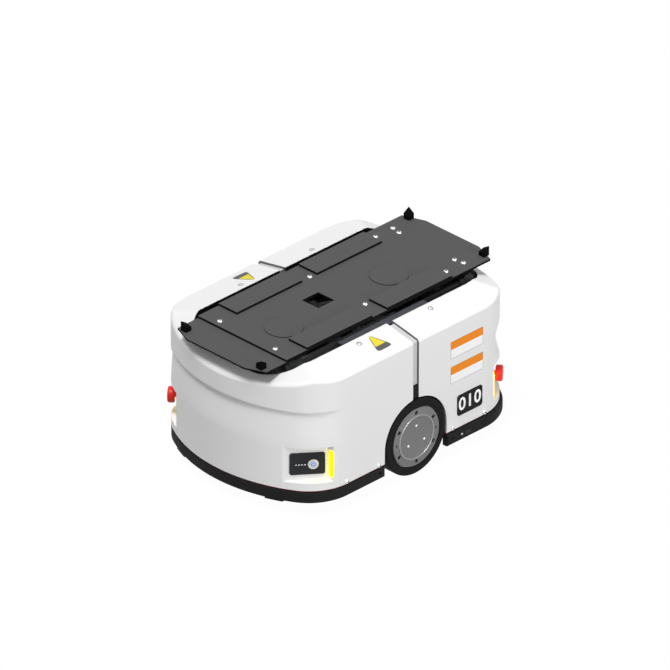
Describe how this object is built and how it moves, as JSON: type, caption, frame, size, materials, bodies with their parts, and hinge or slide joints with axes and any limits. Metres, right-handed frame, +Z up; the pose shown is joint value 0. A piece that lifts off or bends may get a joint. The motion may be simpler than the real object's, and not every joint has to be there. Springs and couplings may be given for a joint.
{
  "type": "autonomous mobile robot",
  "caption": "Low two-wheel-drive mobile robot with a lifting load plate, corner casters, bumpers, corner lamps, emergency stops and a power button.",
  "frame": {"origin": "on the floor under the middle of the body", "axes": "+Z up, +Y towards the tail, so the robot drives towards -Y; +X towards the side with the number plate"},
  "size_m": [0.467, 0.682, 0.35],
  "materials": {
    "cover_white": "satin",
    "bumper_black": "matt",
    "seal_red": "matt",
    "plate_grey": "fine texture powder coat",
    "post_black": "matt",
    "frame_slate": "powder coat",
    "base_steel": "powder coat",
    "bright_steel": "brushed",
    "screw_steel": "polished",
    "cast_alloy": "as machined",
    "hub_grey": "satin paint",
    "tyre_black": "matt",
    "motor_black": "satin",
    "bronze": "machined",
    "caster_grey": "matt",
    "box_black": "matt",
    "fin_alloy": "anodised",
    "lamp_yellow": "lit",
    "panel_black": "matt",
    "button_steel": "brushed",
    "stop_red": "satin",
    "stop_grey": "satin",
    "number_black": "satin"
  },
  "bodies": {
    "chassis": {"front_shell": "cover_white", "rear_shell": "cover_white", "front_seal": "seal_red", "rear_seal": "seal_red", "front_bumper": "bumper_black", "rear_bumper": "bumper_black", "base_plate": "base_steel", "side_frame_right": "frame_slate", "side_frame_left": "frame_slate", "lift_deck": "base_steel", "caster_mounts": "base_steel", "guide_bushes": "bronze", "shaft_bearings": "cast_alloy", "lift_actuator": "motor_black", "battery_pack": "box_black", "control_box": "fin_alloy", "up_camera": "motor_black", "floor_camera": "motor_black", "corner_lamps": "lamp_yellow", "control_panel": "panel_black", "stop_collar_front": "stop_grey", "stop_collar_rear": "stop_grey", "number_plate": "number_black", "seam_blocks": "bumper_black", "shell_screws": "screw_steel", "gearmotor_left": "motor_black", "gearmotor_right": "motor_black"},
    "platform": {"lift_plate": "plate_grey", "nose_plate": "plate_grey", "load_pads": "plate_grey", "bearing_discs": "plate_grey", "corner_posts": "post_black", "platform_rails": "base_steel", "guide_rods": "bright_steel", "plate_screws": "screw_steel"},
    "front_lift": {"front_lift_arm": "cast_alloy", "front_lift_rollers": "bright_steel"},
    "rear_lift": {"rear_lift_arm": "cast_alloy", "rear_lift_rollers": "bright_steel"},
    "pull_rod": {"lift_rod": "bright_steel"},
    "power_push": {"power_button": "button_steel"},
    "stop_front": {"stop_cap_front": "stop_red"},
    "stop_rear": {"stop_cap_rear": "stop_red"},
    "drive_left": {"tyre_left": "tyre_black", "hub_left": "cast_alloy", "hub_cover_left": "hub_grey", "axle_left": "bright_steel"},
    "drive_right": {"tyre_right": "tyre_black", "hub_right": "cast_alloy", "hub_cover_right": "hub_grey", "axle_right": "bright_steel"},
    "swivel_front_left": {"caster_fork_front_left": "bright_steel"},
    "roll_front_left": {"caster_wheel_front_left": "caster_grey"},
    "swivel_front_right": {"caster_fork_front_right": "bright_steel"},
    "roll_front_right": {"caster_wheel_front_right": "caster_grey"},
    "swivel_rear_left": {"caster_fork_rear_left": "bright_steel"},
    "roll_rear_left": {"caster_wheel_rear_left": "caster_grey"},
    "swivel_rear_right": {"caster_fork_rear_right": "bright_steel"},
    "roll_rear_right": {"caster_wheel_rear_right": "caster_grey"}
  },
  "joints": [
    {"name": "lift", "type": "slide", "parent": "chassis", "child": "platform", "axis": [0, 0, 1], "range_m": [0, 0.04]},
    {"name": "front_arm_swing", "type": "hinge", "parent": "chassis", "child": "front_lift", "pos_m": [0, -0.23, 0.262], "axis": [1, 0, 0], "range_deg": [0, 21]},
    {"name": "rear_arm_swing", "type": "hinge", "parent": "chassis", "child": "rear_lift", "pos_m": [0, 0.01, 0.262], "axis": [1, 0, 0], "range_deg": [0, 21]},
    {"name": "rod_pull", "type": "slide", "parent": "chassis", "child": "pull_rod", "axis": [0, -1, 0], "range_m": [0, 0.01387]},
    {"name": "wheel_left", "type": "hinge", "parent": "chassis", "child": "drive_left", "pos_m": [-0.209, 0, 0.085], "axis": [1, 0, 0], "continuous": true},
    {"name": "wheel_right", "type": "hinge", "parent": "chassis", "child": "drive_right", "pos_m": [0.209, 0, 0.085], "axis": [1, 0, 0], "continuous": true},
    {"name": "swivel_front_left", "type": "hinge", "parent": "chassis", "child": "swivel_front_left", "pos_m": [-0.13, -0.215, 0.06], "axis": [0, 0, 1], "continuous": true},
    {"name": "roll_front_left", "type": "hinge", "parent": "swivel_front_left", "child": "roll_front_left", "pos_m": [-0.13, -0.199, 0.025], "axis": [1, 0, 0], "continuous": true},
    {"name": "swivel_front_right", "type": "hinge", "parent": "chassis", "child": "swivel_front_right", "pos_m": [0.13, -0.215, 0.06], "axis": [0, 0, 1], "continuous": true},
    {"name": "roll_front_right", "type": "hinge", "parent": "swivel_front_right", "child": "roll_front_right", "pos_m": [0.13, -0.199, 0.025], "axis": [1, 0, 0], "continuous": true},
    {"name": "swivel_rear_left", "type": "hinge", "parent": "chassis", "child": "swivel_rear_left", "pos_m": [-0.13, 0.215, 0.06], "axis": [0, 0, 1], "continuous": true},
    {"name": "roll_rear_left", "type": "hinge", "parent": "swivel_rear_left", "child": "roll_rear_left", "pos_m": [-0.13, 0.231, 0.025], "axis": [1, 0, 0], "continuous": true},
    {"name": "swivel_rear_right", "type": "hinge", "parent": "chassis", "child": "swivel_rear_right", "pos_m": [0.13, 0.215, 0.06], "axis": [0, 0, 1], "continuous": true},
    {"name": "roll_rear_right", "type": "hinge", "parent": "swivel_rear_right", "child": "roll_rear_right", "pos_m": [0.13, 0.231, 0.025], "axis": [1, 0, 0], "continuous": true},
    {"name": "power_press", "type": "slide", "parent": "chassis", "child": "power_push", "axis": [-0.7777, 0.6286, 0], "range_m": [0, 0.0012], "stiffness_N_per_m": 400},
    {"name": "stop_press_front", "type": "slide", "parent": "chassis", "child": "stop_front", "axis": [0.7777, 0.6286, 0], "range_m": [0, 0.004]},
    {"name": "stop_press_rear", "type": "slide", "parent": "chassis", "child": "stop_rear", "axis": [-0.7777, -0.6286, 0], "range_m": [0, 0.004]}
  ],
  "couplings": [
    {"joint": "front_arm_swing", "follows": "lift", "rad_per_m": 9.1418},
    {"joint": "rear_arm_swing", "follows": "lift", "rad_per_m": 9.1418},
    {"joint": "rod_pull", "follows": "lift", "ratio": 0.34545}
  ]
}
